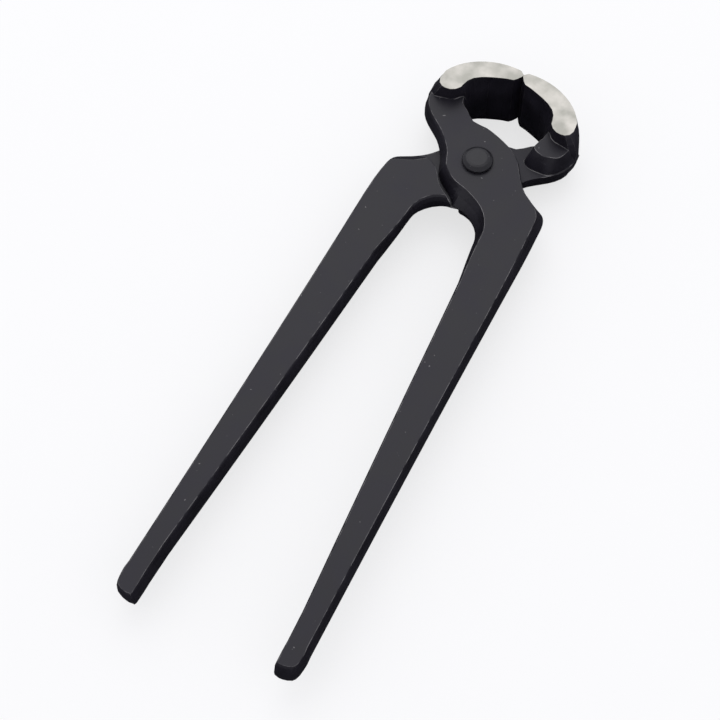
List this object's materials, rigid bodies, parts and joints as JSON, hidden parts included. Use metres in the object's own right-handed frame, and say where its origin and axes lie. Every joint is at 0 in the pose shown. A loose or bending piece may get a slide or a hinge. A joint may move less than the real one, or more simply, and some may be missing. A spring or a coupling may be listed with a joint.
{
  "type": "carpenters pincers",
  "caption": "Carpenters pincers with rounded crown jaws that meet in a cutting edge, crossed levers at a riveted lap joint and long plain tapered handles.",
  "frame": {"origin": "middle of the footprint, on the surface that the pincers lie on", "axes": "+Y from the handle ends to the jaws, +Z along the rivet, away from the surface, +X across the jaws"},
  "size_m": [0.0554, 0.2002, 0.021],
  "materials": {
    "lever_finish": "black semi-matte paint over drop-forged steel, with bright ground jaw faces",
    "rivet_finish": "black, slightly glossier"
  },
  "bodies": {
    "lower": {"lower_lever": "lever_finish", "rivet": "rivet_finish"},
    "upper": {"upper_lever": "lever_finish"}
  },
  "joints": [
    {"name": "jaw_pivot", "type": "hinge", "parent": "lower", "child": "upper", "pos_m": [0, 0.0665, 0.0105], "axis": [0, 0, 1], "range_deg": [0, 26]}
  ]
}
